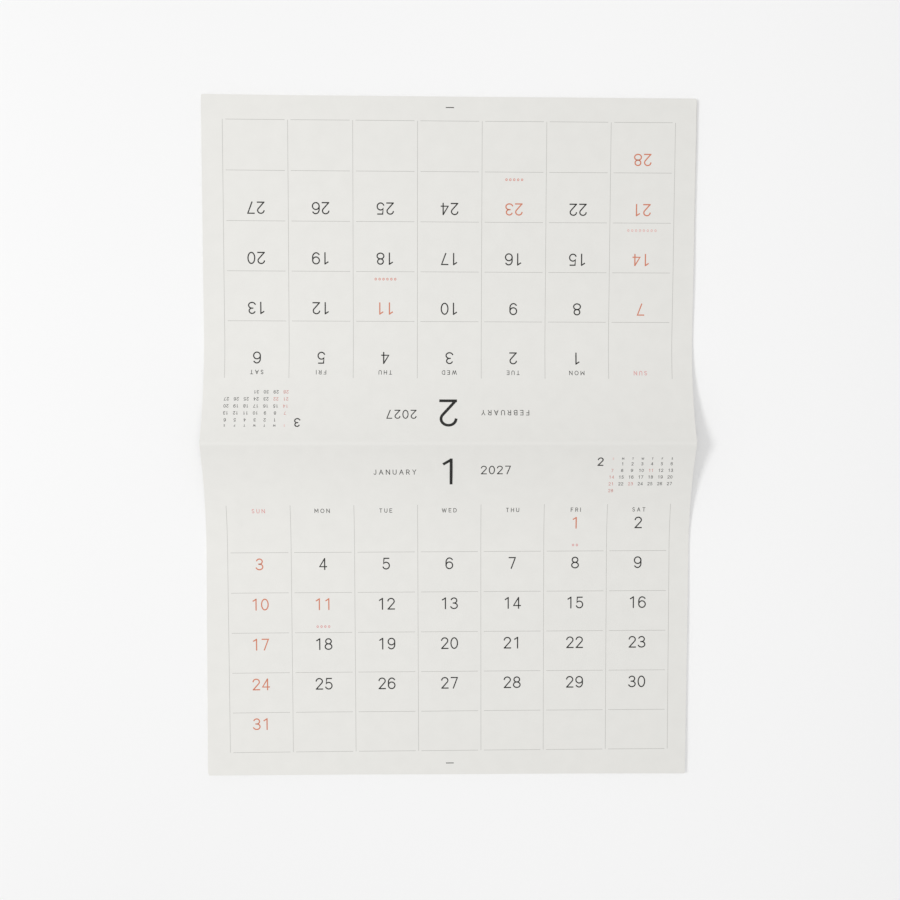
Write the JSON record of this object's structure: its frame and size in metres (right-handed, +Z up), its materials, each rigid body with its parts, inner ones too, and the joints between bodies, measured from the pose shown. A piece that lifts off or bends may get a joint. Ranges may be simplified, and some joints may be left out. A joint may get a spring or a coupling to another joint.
{
  "type": "wall calendar",
  "caption": "Paper wall calendar of loose nested sheets, each folded once across its middle and printed with a month grid on either side, lying open with the fold raised as a low ridge.",
  "frame": {"origin": "on the table, in the middle of the open calendar under the fold", "axes": "+X along the fold, +Y from the January page to the February page, +Z up from the table"},
  "size_m": [0.3666, 0.5106, 0.0217],
  "materials": {
    "paper": "matt uncoated white paper"
  },
  "bodies": {
    "root": {"sheet_january_february": "paper", "sheet_march_april": "paper", "sheet_may_june": "paper", "sheet_july_august": "paper", "sheet_september_october": "paper", "sheet_november_december": "paper"}
  },
  "joints": []
}
